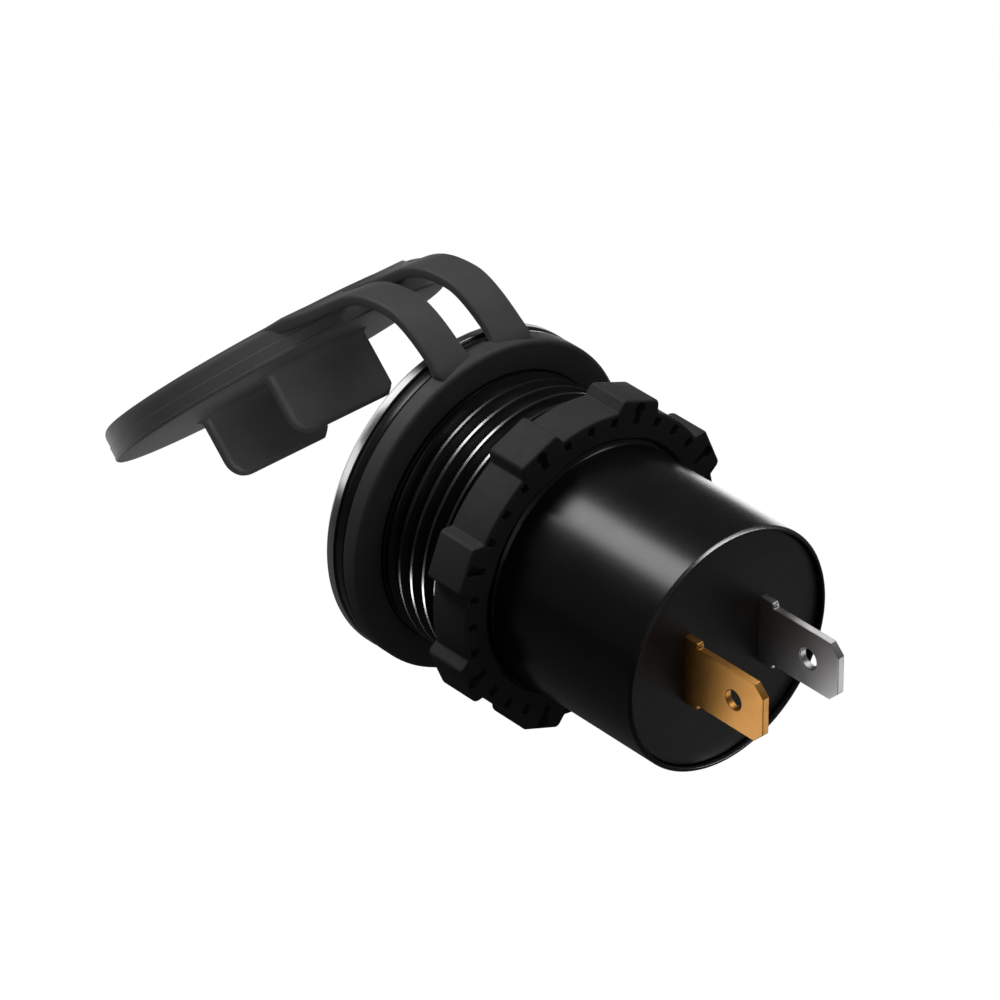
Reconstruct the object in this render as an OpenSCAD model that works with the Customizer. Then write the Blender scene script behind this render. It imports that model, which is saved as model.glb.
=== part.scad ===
// Round panel-mount charging socket with two ports and a strapped rubber dust cover.
// All sizes are in millimetres. The axis is Y, the face looks towards -Y and +Z is up.
// The origin is on the axis, on the sealing face of the rubber ring that meets the panel.

/* [Face] */
// Outside diameter of the flange, the ring and the bezel
flange_d = 34.2; // [32:0.1:38]
// Thickness of the black part of the flange
flange_t = 1.4; // [1:0.1:3]
// Height of the polished bezel in front of the flange
bezel_t = 1.04; // [0.8:0.02:2]
// Radial width of the bezel
bezel_w = 4.3; // [3.8:0.1:4.4]
// Depth of the face plate below the front of the bezel
face_depth = 2.96; // [2.8:0.02:3.2]
// Thickness of the face plate
insert_t = 1.0; // [0.8:0.1:1.4]
// Length of the spigot behind the face plate
spigot_l = 3.5; // [2:0.1:6]

/* [Barrel] */
// Crest diameter of the thread
thread_d = 28.0; // [27:0.1:28.4]
// Distance between two crests
thread_pitch = 1.66; // [1.4:0.02:2]
// Radial height of the thread
thread_depth = 1.35; // [1:0.05:1.4]
// Number of crests
thread_crests = 9; // [6:1:10]
// Diameter of the smooth rear barrel
barrel_d = 25.0; // [24.6:0.1:25.2]
// Wall of the barrel behind the ports
barrel_wall = 0.8; // [0.6:0.05:1]
// Distance from the panel face to the rear rim
barrel_end = 32.46; // [30:0.1:40]
// Thickness of the rear rim round the end cap
rim_wall = 0.45; // [0.4:0.05:0.5]

/* [Nut] */
// Distance from the panel face to the front of the nut
nut_start = 9.05; // [1:0.05:9.1]
// Length of the nut
nut_l = 4.75; // [3:0.05:4.8]
// Diameter over the lugs
lug_d = 34.06; // [33:0.02:36]
// Diameter between the lugs
nut_d = 31.7; // [31:0.1:32.4]
// Number of lugs
lug_count = 8; // [6:1:10]
// Width of a lug at its top
lug_w = 4.7; // [3:0.1:5]
// Depth of the moulded pockets in the rear face
pocket_depth = 2.6; // [1:0.1:3]
// Width of a pocket
pocket_w = 0.8; // [0.6:0.05:1]
// Diameter of the round eye of the pocket in a lug
pocket_eye_d = 1.28; // [1:0.02:1.4]

/* [Ring and straps] */
// Thickness of the rubber ring
ring_t = 2.02; // [1.5:0.02:3]
// Width of one strap
strap_w = 4.0; // [3:0.1:5]
// Free space between the straps
strap_space = 3.4; // [3:0.1:6]
// Thickness of a strap
strap_t = 1.1; // [0.9:0.05:1.3]
// Height of the top of the straps above the ring
strap_high = 3.85; // [3.4:0.05:5]
// Distance of the top of the straps in front of the panel face
strap_ahead = 8.6; // [8:0.1:9.4]

/* [Dust cover] */
// Diameter of the cover
cover_d = 36.0; // [35:0.1:37]
// Thickness of the cover
cover_t = 3.4; // [3.2:0.1:3.8]
// Opening angle of the cover at rest
cover_open = 45.1; // [43:0.1:47]
// Distance of the centre of the cover in front of the panel face
cover_reach = 30.8; // [30:0.1:32]
// Height of the centre of the cover above the axis
cover_rise = 0.24; // [-0.5:0.01:1]
// Width of a plug
plug_w = 12.3; // [11:0.1:12.4]
// Thickness of a plug
plug_t = 1.45; // [1.2:0.05:1.6]
// Length of a plug
plug_l = 6.9; // [5:0.1:7]
// Distance between the middles of the plugs
plug_pitch = 13.8; // [13.7:0.02:13.9]
// Corner radius of a plug
plug_r = 2.2; // [1:0.1:3]

/* [Ports] */
// Distance between the middles of the ports
port_pitch = 12.92; // [12.8:0.02:13.0]
// Inside width of a port
port_w = 12.6; // [12.4:0.05:13]
// Inside height of a port
port_h = 5.12; // [5:0.02:5.4]
// Thickness of the sheet of a port shell
shell_t = 0.3; // [0.2:0.05:0.4]
// Length of a port shell
shell_l = 13.2; // [11:0.1:14]
// Width of the tongue
tongue_w = 11.1; // [10:0.1:11.5]
// Thickness of the tongue
tongue_t = 1.84; // [1.6:0.02:2]
// Distance from the middle of the port to the contact side of the tongue
tongue_off = 0.02; // [0:0.02:0.3]
// Depth of the tongue behind the mouth of the port shell
tongue_depth = 3.6; // [3.5:0.05:5]
// Width of a contact strip
contact_w = 1.1; // [0.8:0.1:1.3]
// Distance between two contact strips
contact_pitch = 2.5; // [2.3:0.1:2.8]
// Thickness of a contact strip
contact_t = 0.2; // [0.15:0.05:0.4]

/* [Terminals] */
// Width of the push-on tab
tab_w = 6.3; // [4.8:0.1:6.6]
// Thickness of the tab
tab_t = 0.8; // [0.5:0.05:1]
// Free length of the tab behind the end cap
tab_l = 10.35; // [8:0.05:12]
// Distance between the middles of the tabs
tab_pitch = 9.54; // [8.5:0.02:10.5]
// Length of the cut corners at the tip
tip_l = 1.58; // [1:0.02:2]
// Width of the cut corners at the tip
tip_w = 1.32; // [1:0.02:2]
// Width of the shouldered root
root_w = 7.35; // [6.8:0.05:7.6]
// Length of the shouldered root
root_l = 1.8; // [1:0.1:3]
// Width of the lead inside the barrel
lead_w = 3.15; // [2:0.05:4]
// Length of the lead inside the barrel
lead_l = 4.0; // [3:0.1:4]
// Diameter of the locking hole
tab_hole_d = 2.1; // [1.5:0.1:2.5]
// Distance from the tip to the middle of the locking hole
tab_hole_back = 3.9; // [3:0.1:4.5]
// Thickness of the end cap
end_cap_t = 2.45; // [2:0.05:3]
// Depth of the end cap below the rear rim
end_cap_depth = 0.61; // [0.3:0.01:1]

/* [Electronics] */
// Thickness of the circuit boards
board_t = 1.2; // [0.8:0.1:1.6]
// Diameter of the power light
light_d = 2.0; // [1.5:0.1:2.4]
// Width of the inductor
inductor_w = 9.0; // [7:0.5:9]
// Height of the inductor
inductor_h = 6.0; // [4:0.5:6]
// Diameter of the capacitors
capacitor_d = 6.3; // [5:0.1:6.5]
// Height of the capacitors
capacitor_h = 7.7; // [5:0.1:7.8]
// Width of the plug strip between the boards
link_w = 10.0; // [6:0.5:12]
// Height and length of the plug strip
link_h = 2.5; // [2:0.1:2.5]
// Width of the converter chip
chip_w = 3.9; // [3:0.1:5]
// Length of the converter chip
chip_l = 3.6; // [3:0.1:4]
// Height of the converter chip
chip_h = 1.5; // [1:0.1:2]
// Width of the fuse
fuse_w = 4.2; // [3:0.1:5]
// Length of the fuse
fuse_l = 2.0; // [1:0.1:2.2]
// Height of the fuse
fuse_h = 1.2; // [0.8:0.1:2]

/* [Hidden] */
$fn = 96;
// Clearances: running thread, sliding radial fit, seated soft contact, soft part passing a hard one,
// board in the barrel, neighbours on a board, the free space beside the power board, and the corners
// of the ports in the bore
run_gap = 0.07;
fit_gap = 0.05;
seat_gap = 0.02;
pass_gap = 0.3;
board_gap = 0.1;
part_gap = 0.2;
rail_gap = 1.6;
port_gap = 0.08;
// Edge sizes
edge = 0.2;
edge_mid = 0.3;
edge_big = 0.5;
ring_edge = 0.85;
cover_edge = 1.3;
// Steps round the edge of the cover: how far each lies behind the closing face
cover_step = [1.6, 0.5];
// Countersink of the nut that clears the crests of the thread
lead_in = 0.9;
over = 1;

flange_r = flange_d / 2;
thread_r = thread_d / 2;
root_r = thread_r - thread_depth;
barrel_r = barrel_d / 2;
bore_r = norm([port_w / 2 + shell_t, (port_pitch + port_h) / 2 + shell_t]) + port_gap;
rim_r = barrel_r - rim_wall;
tail_r = barrel_r - barrel_wall;
bezel_in_r = flange_r - bezel_w;
skirt_t = 0.8;
skirt_r = bezel_in_r + skirt_t;

y_back = -ring_t;
y_front = y_back - flange_t;
y_face = y_front - bezel_t;
y_insert = y_face + face_depth;
y_floor = y_insert + insert_t;
skirt_l = 1;
y_step = y_front + skirt_l;
y_spigot = y_floor + spigot_l;
y_end_cap = barrel_end - end_cap_depth;
y_cap_seat = y_end_cap - end_cap_t;

crest_flat = 0.22;
first_crest = 0.25 + crest_flat / 2;

shell_y = y_insert + 0.6;
shell_end = shell_y + shell_l;
board_y = shell_end;
power_y = board_y + board_t;
board_r = bore_r - board_gap;
// Web inside the barrel, where the thread ends and the smooth rear part starts
y_tail = first_crest + (thread_crests - 0.5) * thread_pitch;
web_r = min(bore_r, tail_r) - board_gap;
power_w = 2 * (web_r - rail_gap);
inductor_y = power_y + link_h + part_gap;
chip_y = inductor_y + inductor_w + part_gap;

cover_r = cover_d / 2;
strap_x = (strap_space + strap_w) / 2;

// Solid of revolution about Y from a profile of radius and Y
module spun(profile) {
    rotate([-90, 0, 0])
        rotate_extrude()
            polygon(profile);
}

// Round bar along Y
module bar_y(r, y0, y1) {
    translate([0, y0, 0])
        rotate([-90, 0, 0])
            cylinder(r = r, h = y1 - y0);
}

// Flat shape of X and Z made thick along Y
module slab_y(y0, y1) {
    translate([0, y1, 0])
        rotate([90, 0, 0])
            linear_extrude(height = y1 - y0)
                children();
}

// Flat shape of Y and Z made thick along X
module slab_x(x_mid, w) {
    translate([x_mid, 0, 0])
        rotate([90, 0, 90])
            linear_extrude(height = w, center = true)
                children();
}

// Block between two corners
module block(a, b) {
    translate(a)
        cube(b - a);
}

// Crests of the thread from front to back, grown by a clearance
function thread_profile(n, y0, grow) = [
    for (i = [0 : n - 1])
        let (mid = y0 + i * thread_pitch)
            each [
                [root_r + grow, mid - thread_pitch / 2 + crest_flat / 2],
                [thread_r + grow, mid - crest_flat / 2],
                [thread_r + grow, mid + crest_flat / 2],
                [root_r + grow, mid + thread_pitch / 2 - crest_flat / 2]
            ]
];

// Rounded corner of a profile
function corner(c, r, a0, a1) = [
    for (i = [0 : 5])
        let (a = a0 + (a1 - a0) * i / 5)
            [c[0] + r * cos(a), c[1] + r * sin(a)]
];

module housing() {
    color([0.03, 0.03, 0.03])
        spun(concat(
            [
                [skirt_r + fit_gap, y_front],
                [flange_r - edge, y_front],
                [flange_r, y_front + edge],
                [flange_r, y_back - edge],
                [flange_r - edge, y_back],
                [thread_r, y_back],
                [thread_r, first_crest + crest_flat / 2],
                [root_r, first_crest + thread_pitch / 2 - crest_flat / 2]
            ],
            thread_profile(thread_crests - 1, first_crest + thread_pitch, 0),
            [
                [root_r, y_tail],
                [barrel_r, y_tail + edge],
                [barrel_r, barrel_end - edge],
                [barrel_r - edge, barrel_end],
                [rim_r, barrel_end],
                [rim_r, y_cap_seat],
                [tail_r, y_cap_seat],
                [tail_r, y_tail + barrel_wall],
                [web_r, y_tail + barrel_wall],
                [web_r, y_tail - barrel_wall],
                [bore_r, y_tail - barrel_wall],
                [bore_r, y_floor],
                [bezel_in_r + fit_gap, y_floor],
                [bezel_in_r + fit_gap, y_step],
                [skirt_r + fit_gap, y_step]
            ]
        ));
}

module face_bezel() {
    color([0.8, 0.8, 0.82])
        spun([
            [bezel_in_r + fit_gap, y_face + edge],
            [bezel_in_r + fit_gap + edge, y_face],
            [flange_r - edge, y_face],
            [flange_r, y_face + edge],
            [flange_r, y_front],
            [skirt_r, y_front],
            [skirt_r, y_step],
            [bezel_in_r + fit_gap, y_step]
        ]);
}

// Outline of one port, grown by an amount on every side
module port_shape(grow) {
    square([port_w + 2 * grow, port_h + 2 * grow], center = true);
}

// Both port outlines
module port_pair(grow) {
    for (s = [-1, 1])
        translate([0, s * port_pitch / 2])
            port_shape(grow);
}

module front_insert() {
    color([0.05, 0.05, 0.05])
        difference() {
            union() {
                spun([
                    [0, y_insert],
                    [bezel_in_r - edge, y_insert],
                    [bezel_in_r, y_insert + edge],
                    [bezel_in_r, y_floor],
                    [0, y_floor]
                ]);
                bar_y(bore_r - fit_gap, y_floor - over / 2, y_spigot);
            }
            slab_y(y_insert - over, shell_y + over)
                port_pair(fit_gap);
            slab_y(shell_y, y_spigot + over)
                port_pair(shell_t + fit_gap);
            bar_y(light_d / 2 + fit_gap, y_insert - over, y_spigot + over);
        }
}

// Folded sleeve of a port, side = 1 above and -1 below
module port_shell(side) {
    color([0.72, 0.72, 0.74])
        slab_y(shell_y, shell_end)
            translate([0, side * port_pitch / 2])
                difference() {
                    port_shape(shell_t);
                    port_shape(0);
                }
}

module upper_port_shell() {
    port_shell(1);
}

module lower_port_shell() {
    port_shell(-1);
}

// Contact strips of a port in the contact side of its tongue
module contact_set(side) {
    z_face = side * port_pitch / 2 - tongue_off;
    y0 = shell_y + tongue_depth + 0.5;
    for (i = [-1.5 : 1 : 1.5])
        translate([i * contact_pitch, (y0 + shell_end) / 2, z_face - contact_t / 2])
            cube([contact_w, shell_end - y0, contact_t], center = true);
}

// Insulator of a port, which fills the rear of the shell and holds the tongue
module port_tongue(side) {
    z_mid = side * port_pitch / 2 - tongue_off - tongue_t / 2;
    color([0.9, 0.9, 0.88])
        difference() {
            union() {
                slab_y(shell_end - 2.4, shell_end)
                    translate([0, side * port_pitch / 2])
                        port_shape(0);
                slab_y(shell_y + tongue_depth, shell_end - 2)
                    translate([0, z_mid])
                        square([tongue_w, tongue_t], center = true);
            }
            contact_set(side);
        }
}

module upper_port_tongue() {
    port_tongue(1);
}

module lower_port_tongue() {
    port_tongue(-1);
}

module upper_port_contacts() {
    color([0.85, 0.7, 0.35])
        contact_set(1);
}

module lower_port_contacts() {
    color([0.85, 0.7, 0.35])
        contact_set(-1);
}

module light_pipe() {
    color([0.75, 0.85, 0.95])
        bar_y(light_d / 2, y_insert, board_y - 0.8);
}

module indicator_led() {
    color([0.9, 0.9, 0.8])
        block([-1.4, board_y - 0.8, -1], [1.4, board_y, 1]);
}

module port_board() {
    color([0.05, 0.3, 0.15])
        bar_y(board_r, board_y, board_y + board_t);
}

module power_board() {
    slot = tab_t / 2 + seat_gap;
    color([0.05, 0.3, 0.15])
        difference() {
            block([-power_w / 2, power_y, -board_t / 2], [power_w / 2, y_cap_seat, board_t / 2]);
            for (s = [-1, 1])
                translate([s * tab_pitch / 2, 0, 0])
                    block([-slot, y_cap_seat - lead_l, -over], [slot, y_cap_seat + over, over]);
        }
}

module board_link() {
    color([0.1, 0.1, 0.1])
        block([-link_w / 2, power_y, board_t / 2], [link_w / 2, power_y + link_h, board_t / 2 + link_h]);
}

// Square inductor with the recesses of its two end clips
module inductor() {
    half = inductor_w / 2;
    clip = [0.8, 5.4, 3];
    color([0.2, 0.2, 0.22])
        translate([0, inductor_y + half, board_t / 2])
            difference() {
                block([-half, -half, 0], [half, half, inductor_h]);
                for (s = [-1, 1])
                    translate([s * half, 0, inductor_h / 2])
                        cube(clip, center = true);
            }
}

// Upright can capacitor under the power board
module capacitor(x, y) {
    color([0.6, 0.6, 0.62])
        translate([x, y, -board_t / 2 - capacitor_h])
            cylinder(d = capacitor_d, h = capacitor_h);
}

module input_capacitor() {
    capacitor(-capacitor_d / 2 - part_gap, y_cap_seat - lead_l - part_gap - capacitor_d / 2);
}

module output_capacitor() {
    capacitor(capacitor_d / 2 + part_gap, power_y + edge_big + capacitor_d / 2);
}

module converter_chip() {
    color([0.08, 0.08, 0.08])
        translate([0, chip_y, board_t / 2])
            block([-chip_w / 2, 0, 0], [chip_w / 2, chip_l, chip_h]);
}

// Fuse between the output capacitor and the leads of the terminals
module fuse() {
    y0 = power_y + edge_big + capacitor_d + 2 * part_gap;
    color([0.75, 0.75, 0.7])
        translate([capacitor_d / 2 + part_gap, y0, -board_t / 2 - fuse_h])
            block([-fuse_w / 2, 0, 0], [fuse_w / 2, fuse_l, fuse_h]);
}

// Flat outline of a terminal in Y and Z
module terminal_shape() {
    half = tab_w / 2;
    tip = y_end_cap + tab_l;
    root = root_w / 2;
    shoulder = y_end_cap + root_l;
    side = [
        [y_cap_seat - lead_l, lead_w / 2],
        [y_cap_seat, lead_w / 2],
        [y_cap_seat, root],
        [shoulder - edge_mid, root],
        [shoulder, root - edge_mid],
        [shoulder, half],
        [tip - tip_l, half],
        [tip, half - tip_w]
    ];
    polygon(concat(side, [for (i = [len(side) - 1 : -1 : 0]) [side[i][0], -side[i][1]]]));
}

// Terminal on one side, side = 1 for the positive one
module terminal(side) {
    x = side * tab_pitch / 2;
    difference() {
        slab_x(x, tab_t)
            terminal_shape();
        translate([x, y_end_cap + tab_l - tab_hole_back, 0])
            rotate([0, 90, 0])
                cylinder(d = tab_hole_d, h = 3 * tab_t, center = true);
    }
}

module positive_terminal() {
    color([0.78, 0.56, 0.3])
        terminal(1);
}

module negative_terminal() {
    color([0.7, 0.7, 0.7])
        terminal(-1);
}

module end_cap() {
    slot = tab_t + 2 * seat_gap;
    color([0.06, 0.06, 0.06])
        difference() {
            bar_y(rim_r - fit_gap, y_cap_seat, y_end_cap);
            for (s = [-1, 1])
                slab_y(y_cap_seat - over, y_end_cap + over)
                    translate([s * tab_pitch / 2, 0])
                        square([slot, root_w + 2 * seat_gap], center = true);
        }
}

// Side outline of a lug in X and Z
module lug_shape() {
    polygon([
        [-lug_w / 2 - 0.5, nut_d / 2 - 1],
        [-lug_w / 2 - 0.35, nut_d / 2],
        [-lug_w / 2, lug_d / 2 - 0.3],
        [-lug_w / 2 + 0.3, lug_d / 2 + over],
        [lug_w / 2 - 0.3, lug_d / 2 + over],
        [lug_w / 2, lug_d / 2 - 0.3],
        [lug_w / 2 + 0.35, nut_d / 2],
        [lug_w / 2 + 0.5, nut_d / 2 - 1]
    ]);
}

module mounting_nut() {
    nut_end = nut_start + nut_l;
    step = 360 / lug_count;
    bore = root_r + run_gap;
    color([0.06, 0.06, 0.06])
        difference() {
            union() {
                bar_y(nut_d / 2, nut_start, nut_end);
                intersection() {
                    spun([
                        [0, nut_start],
                        [lug_d / 2 - edge_big, nut_start],
                        [lug_d / 2, nut_start + edge_big],
                        [lug_d / 2, nut_end - edge],
                        [lug_d / 2 - edge, nut_end],
                        [0, nut_end]
                    ]);
                    union() {
                        for (i = [0 : lug_count - 1])
                            rotate([0, (i + 0.5) * step, 0])
                                slab_y(nut_start - over, nut_end + over)
                                    lug_shape();
                    }
                }
            }
            spun(concat(
                [[0, -over], [bore, -over]],
                thread_profile(thread_crests, first_crest, run_gap),
                [[bore, barrel_end], [0, barrel_end]]
            ));
            spun([
                [0, nut_start - over],
                [thread_r + run_gap, nut_start - over],
                [thread_r + run_gap, nut_start],
                [bore, nut_start + lead_in],
                [0, nut_start + lead_in]
            ]);
            spun([
                [0, nut_end - edge_big],
                [bore, nut_end - edge_big],
                [bore + edge_big + over, nut_end + over],
                [0, nut_end + over]
            ]);
            for (i = [0 : lug_count * 4 - 1])
                rotate([0, (i + 0.5) * step / 4 + step / 8, 0])
                    translate([-pocket_w / 2, nut_end - pocket_depth, thread_r + 2 * run_gap + 0.3])
                        cube([pocket_w, pocket_depth + over, nut_d / 2 - thread_r - 0.9]);
            for (i = [0 : lug_count - 1])
                rotate([0, (i + 0.5) * step, 0])
                    translate([0, nut_end - pocket_depth, (nut_d + lug_d) / 4 - 0.1])
                        rotate([-90, 0, 0])
                            cylinder(d = pocket_eye_d, h = pocket_depth + over);
        }
}

module gasket_ring() {
    color([0.1, 0.1, 0.1])
        spun(concat(
            [
                [thread_r + fit_gap, y_back],
                [flange_r - edge, y_back],
                [flange_r, y_back + edge]
            ],
            corner([flange_r - ring_edge, -ring_edge], ring_edge, 0, 90),
            [[thread_r + fit_gap, 0]]
        ));
}

// Places things in the frame of the cover: Z along the plugs, X across, -Y towards the straps
module at_cover() {
    translate([0, -cover_reach, cover_rise])
        rotate([-90 - cover_open, 0, 0])
            children();
}

// Disc of the cover, grown by a clearance
module cover_disc(grow) {
    rotate_extrude()
        polygon(concat(
            [[0, -cover_t - grow]],
            corner([cover_r - cover_edge, -cover_t + cover_edge], cover_edge + grow, -90, 0),
            [
                [cover_r + grow, -cover_step[0]],
                [cover_r - 0.15 + grow, -cover_step[0] + 0.1],
                [cover_r - 0.15 + grow, -cover_step[1]],
                [cover_r - 0.35 + grow, -cover_step[1] + 0.1],
                [cover_r - 0.6 + grow, 0],
                [0, 0]
            ]
        ));
}

// Rounded end of a plug in X and Z
module plug_shape() {
    difference() {
        translate([-plug_w / 2, -over])
            square([plug_w, plug_l + over]);
        for (s = [-1, 1])
            translate([s * plug_w / 2, plug_l])
                difference() {
                    square(2 * plug_r, center = true);
                    translate([-s * plug_r, -plug_r])
                        circle(r = plug_r);
                }
    }
}

module dust_cover() {
    color([0.17, 0.17, 0.17])
        at_cover()
            union() {
                cover_disc(0);
                for (s = [-1, 1])
                    translate([0, s * plug_pitch / 2 + plug_t / 2, 0])
                        rotate([90, 0, 0])
                            linear_extrude(height = plug_t)
                                plug_shape();
            }
}

// Point of a smooth curve with four control points
function curve(p, t) =
    p[0] * pow(1 - t, 3) + p[1] * 3 * pow(1 - t, 2) * t
    + p[2] * 3 * (1 - t) * pow(t, 2) + p[3] * pow(t, 3);

// Direction of that curve
function slope(p, t) =
    let (v = (p[1] - p[0]) * pow(1 - t, 2) + (p[2] - p[1]) * 2 * (1 - t) * t + (p[3] - p[2]) * pow(t, 2))
        v / norm(v);

// Point of the curve moved to its inner side
function inner(p, t, d) =
    let (v = slope(p, t))
        curve(p, t) + d * [-v[1], v[0]];

// Control points of the outer side of a strap: rise from the ring, then the fall to the cover
function cover_point(along, n) = [
    -cover_reach + along * sin(cover_open) + n * cos(cover_open),
    cover_rise + along * cos(cover_open) - n * sin(cover_open)
];
strap_top = [-strap_ahead, flange_r + strap_high];
strap_rise = [
    [y_back / 2 + 0.7, flange_r - 0.8],
    [y_back / 2 - 0.2, flange_r + 1.2],
    strap_top + [3.6, 0],
    strap_top
];
strap_fall = [
    strap_top,
    strap_top - [3.4, 0],
    cover_point(cover_r + 6.6, -1.7),
    cover_point(cover_r - cover_edge, -cover_t)
];

// Side outline of a strap in Y and Z
module strap_shape() {
    polygon(concat(
        [for (i = [0 : 8]) curve(strap_rise, i / 8)],
        [for (i = [1 : 8]) curve(strap_fall, i / 8)],
        [for (i = [8 : -1 : 1]) inner(strap_fall, i / 8, strap_t)],
        [for (i = [8 : -1 : 0]) inner(strap_rise, i / 8, strap_t)]
    ));
}

module cover_straps() {
    color([0.15, 0.15, 0.15])
        difference() {
            for (s = [-1, 1])
                slab_x(s * strap_x, strap_w)
                    strap_shape();
            bar_y(flange_r + seat_gap, y_back, over);
            bar_y(flange_r + seat_gap, y_back - seat_gap, over);
            bar_y(flange_r + pass_gap, y_face - over, y_back - seat_gap);
            at_cover()
                cover_disc(seat_gap);
        }
}

housing();
face_bezel();
front_insert();
upper_port_shell();
lower_port_shell();
upper_port_tongue();
lower_port_tongue();
upper_port_contacts();
lower_port_contacts();
light_pipe();
indicator_led();
port_board();
power_board();
board_link();
inductor();
input_capacitor();
output_capacitor();
converter_chip();
fuse();
end_cap();
positive_terminal();
negative_terminal();
mounting_nut();
gasket_ring();
cover_straps();
dust_cover();
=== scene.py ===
"""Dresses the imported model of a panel-mount charging socket with two ports and a strapped cover."""

import math

import bmesh
import bpy
from mathutils import Matrix, Vector


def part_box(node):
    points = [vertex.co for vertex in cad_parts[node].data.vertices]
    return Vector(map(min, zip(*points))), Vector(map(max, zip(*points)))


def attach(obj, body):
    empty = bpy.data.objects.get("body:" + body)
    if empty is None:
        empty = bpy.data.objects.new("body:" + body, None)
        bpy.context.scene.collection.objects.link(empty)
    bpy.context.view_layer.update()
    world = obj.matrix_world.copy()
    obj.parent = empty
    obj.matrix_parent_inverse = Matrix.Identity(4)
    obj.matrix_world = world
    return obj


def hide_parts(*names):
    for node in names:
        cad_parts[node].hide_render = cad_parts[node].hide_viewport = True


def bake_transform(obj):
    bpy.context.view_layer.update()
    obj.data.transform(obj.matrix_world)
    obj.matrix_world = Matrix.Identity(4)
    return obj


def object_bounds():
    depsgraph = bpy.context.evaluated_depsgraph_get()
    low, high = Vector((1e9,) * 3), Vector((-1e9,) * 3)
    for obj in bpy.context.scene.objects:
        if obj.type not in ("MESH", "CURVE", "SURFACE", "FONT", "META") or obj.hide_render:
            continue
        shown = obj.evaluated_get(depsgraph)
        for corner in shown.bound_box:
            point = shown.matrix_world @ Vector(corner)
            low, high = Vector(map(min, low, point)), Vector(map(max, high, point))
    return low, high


bl_info = {
    "name": "Panel charging socket",
    "version": (1, 0, 0),
    "blender": (4, 5, 0),
    "location": "3D View > Sidebar > Socket",
    "description": "Builds the visible pieces and finishes of a round charging socket with a cover",
    "category": "Object",
}

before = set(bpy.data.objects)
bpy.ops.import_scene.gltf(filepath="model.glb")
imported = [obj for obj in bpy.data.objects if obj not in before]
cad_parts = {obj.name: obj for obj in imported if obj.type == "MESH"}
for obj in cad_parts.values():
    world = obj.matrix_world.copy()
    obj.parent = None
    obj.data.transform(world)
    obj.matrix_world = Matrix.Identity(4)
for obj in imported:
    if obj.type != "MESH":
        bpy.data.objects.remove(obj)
CAD_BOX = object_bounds()
MM = 0.001
# Radius of the thread's crest in millimetres, for the usual 28.5 mm panel hole
THREAD_RADIUS = 14.0
# Radius of the nut over its lugs in millimetres
LUG_RADIUS = 17.03
# How far a strap runs on inside the cover's wall, in millimetres from where it enters
STRAP_TAIL = (0.8, 1.6, 2.4, 3.5, 4.8)


def high(node, axis):
    """Highest coordinate of a CAD node along an axis, in millimetres."""
    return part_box(node)[1][axis] / MM


def low(node, axis):
    """Lowest coordinate of a CAD node along an axis, in millimetres."""
    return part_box(node)[0][axis] / MM


def size(name, description, millimetres, least=0.0):
    """A length property, given in millimetres and kept in metres."""
    return bpy.props.FloatProperty(
        name=name,
        description=description,
        default=millimetres * MM,
        min=least * MM,
        subtype="DISTANCE",
        unit="LENGTH",
        precision=5,
    )


def linear(code):
    """An sRGB hex colour as linear red, green, blue and full opacity."""
    values = [int(code[i : i + 2], 16) / 255 for i in (1, 3, 5)]
    return [v / 12.92 if v <= 0.04045 else ((v + 0.055) / 1.055) ** 2.4 for v in values] + [1.0]


def colour(name, description, code):
    """A colour property with an sRGB hex default."""
    return bpy.props.FloatVectorProperty(
        name=name,
        description=description,
        default=linear(code),
        size=4,
        min=0.0,
        max=1.0,
        subtype="COLOR",
    )


# ---------------------------------------------------------------- sizes and colours


class SocketBarrelSizes(bpy.types.PropertyGroup):
    thread_pitch: size("Thread pitch", "Distance between two crests of the thread", 1.66, 0.5)
    thread_depth: size("Thread depth", "Radial height of the thread", 1.35, 0.2)
    barrel_radius: size("Barrel radius", "Radius of the smooth rear barrel", 12.5, 5)
    rim_wall: size("Rim wall", "Wall of the barrel round the end cap", 0.45, 0.1)
    bore_radius: size("Bore radius", "Radius of the inside of the barrel", 11.5, 5)
    nylon: colour("Nylon", "Colour of the polished nylon", "#101012")


class SocketFaceSizes(bpy.types.PropertyGroup):
    port_width: size("Port width", "Inside width of a port", 12.6, 5)
    port_height: size("Port height", "Inside height of a port", 5.12, 2)
    port_pitch: size("Port pitch", "Distance between the middles of the ports", 12.92, 6)
    light_radius: size("Light radius", "Radius of the power light", 1.0, 0.2)
    chrome: colour("Chrome", "Colour of the bezel", "#dcdcdf")


class SocketNutSizes(bpy.types.PropertyGroup):
    lugs: bpy.props.IntProperty(
        name="Lugs", description="Number of lugs round the nut", default=8, min=3
    )
    low_radius: size("Low radius", "Radius of the nut between two lugs", 15.85, 10)
    lug_width: size("Lug width", "Width of a lug at its top", 4.7, 1)
    pocket_width: size("Pocket width", "Width of a moulded pocket in the rear face", 0.8, 0.2)
    pocket_depth: size("Pocket depth", "Depth of a moulded pocket", 0.9, 0.2)
    nylon: colour("Nylon", "Colour of the matte nylon", "#2e2e2e")


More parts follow.
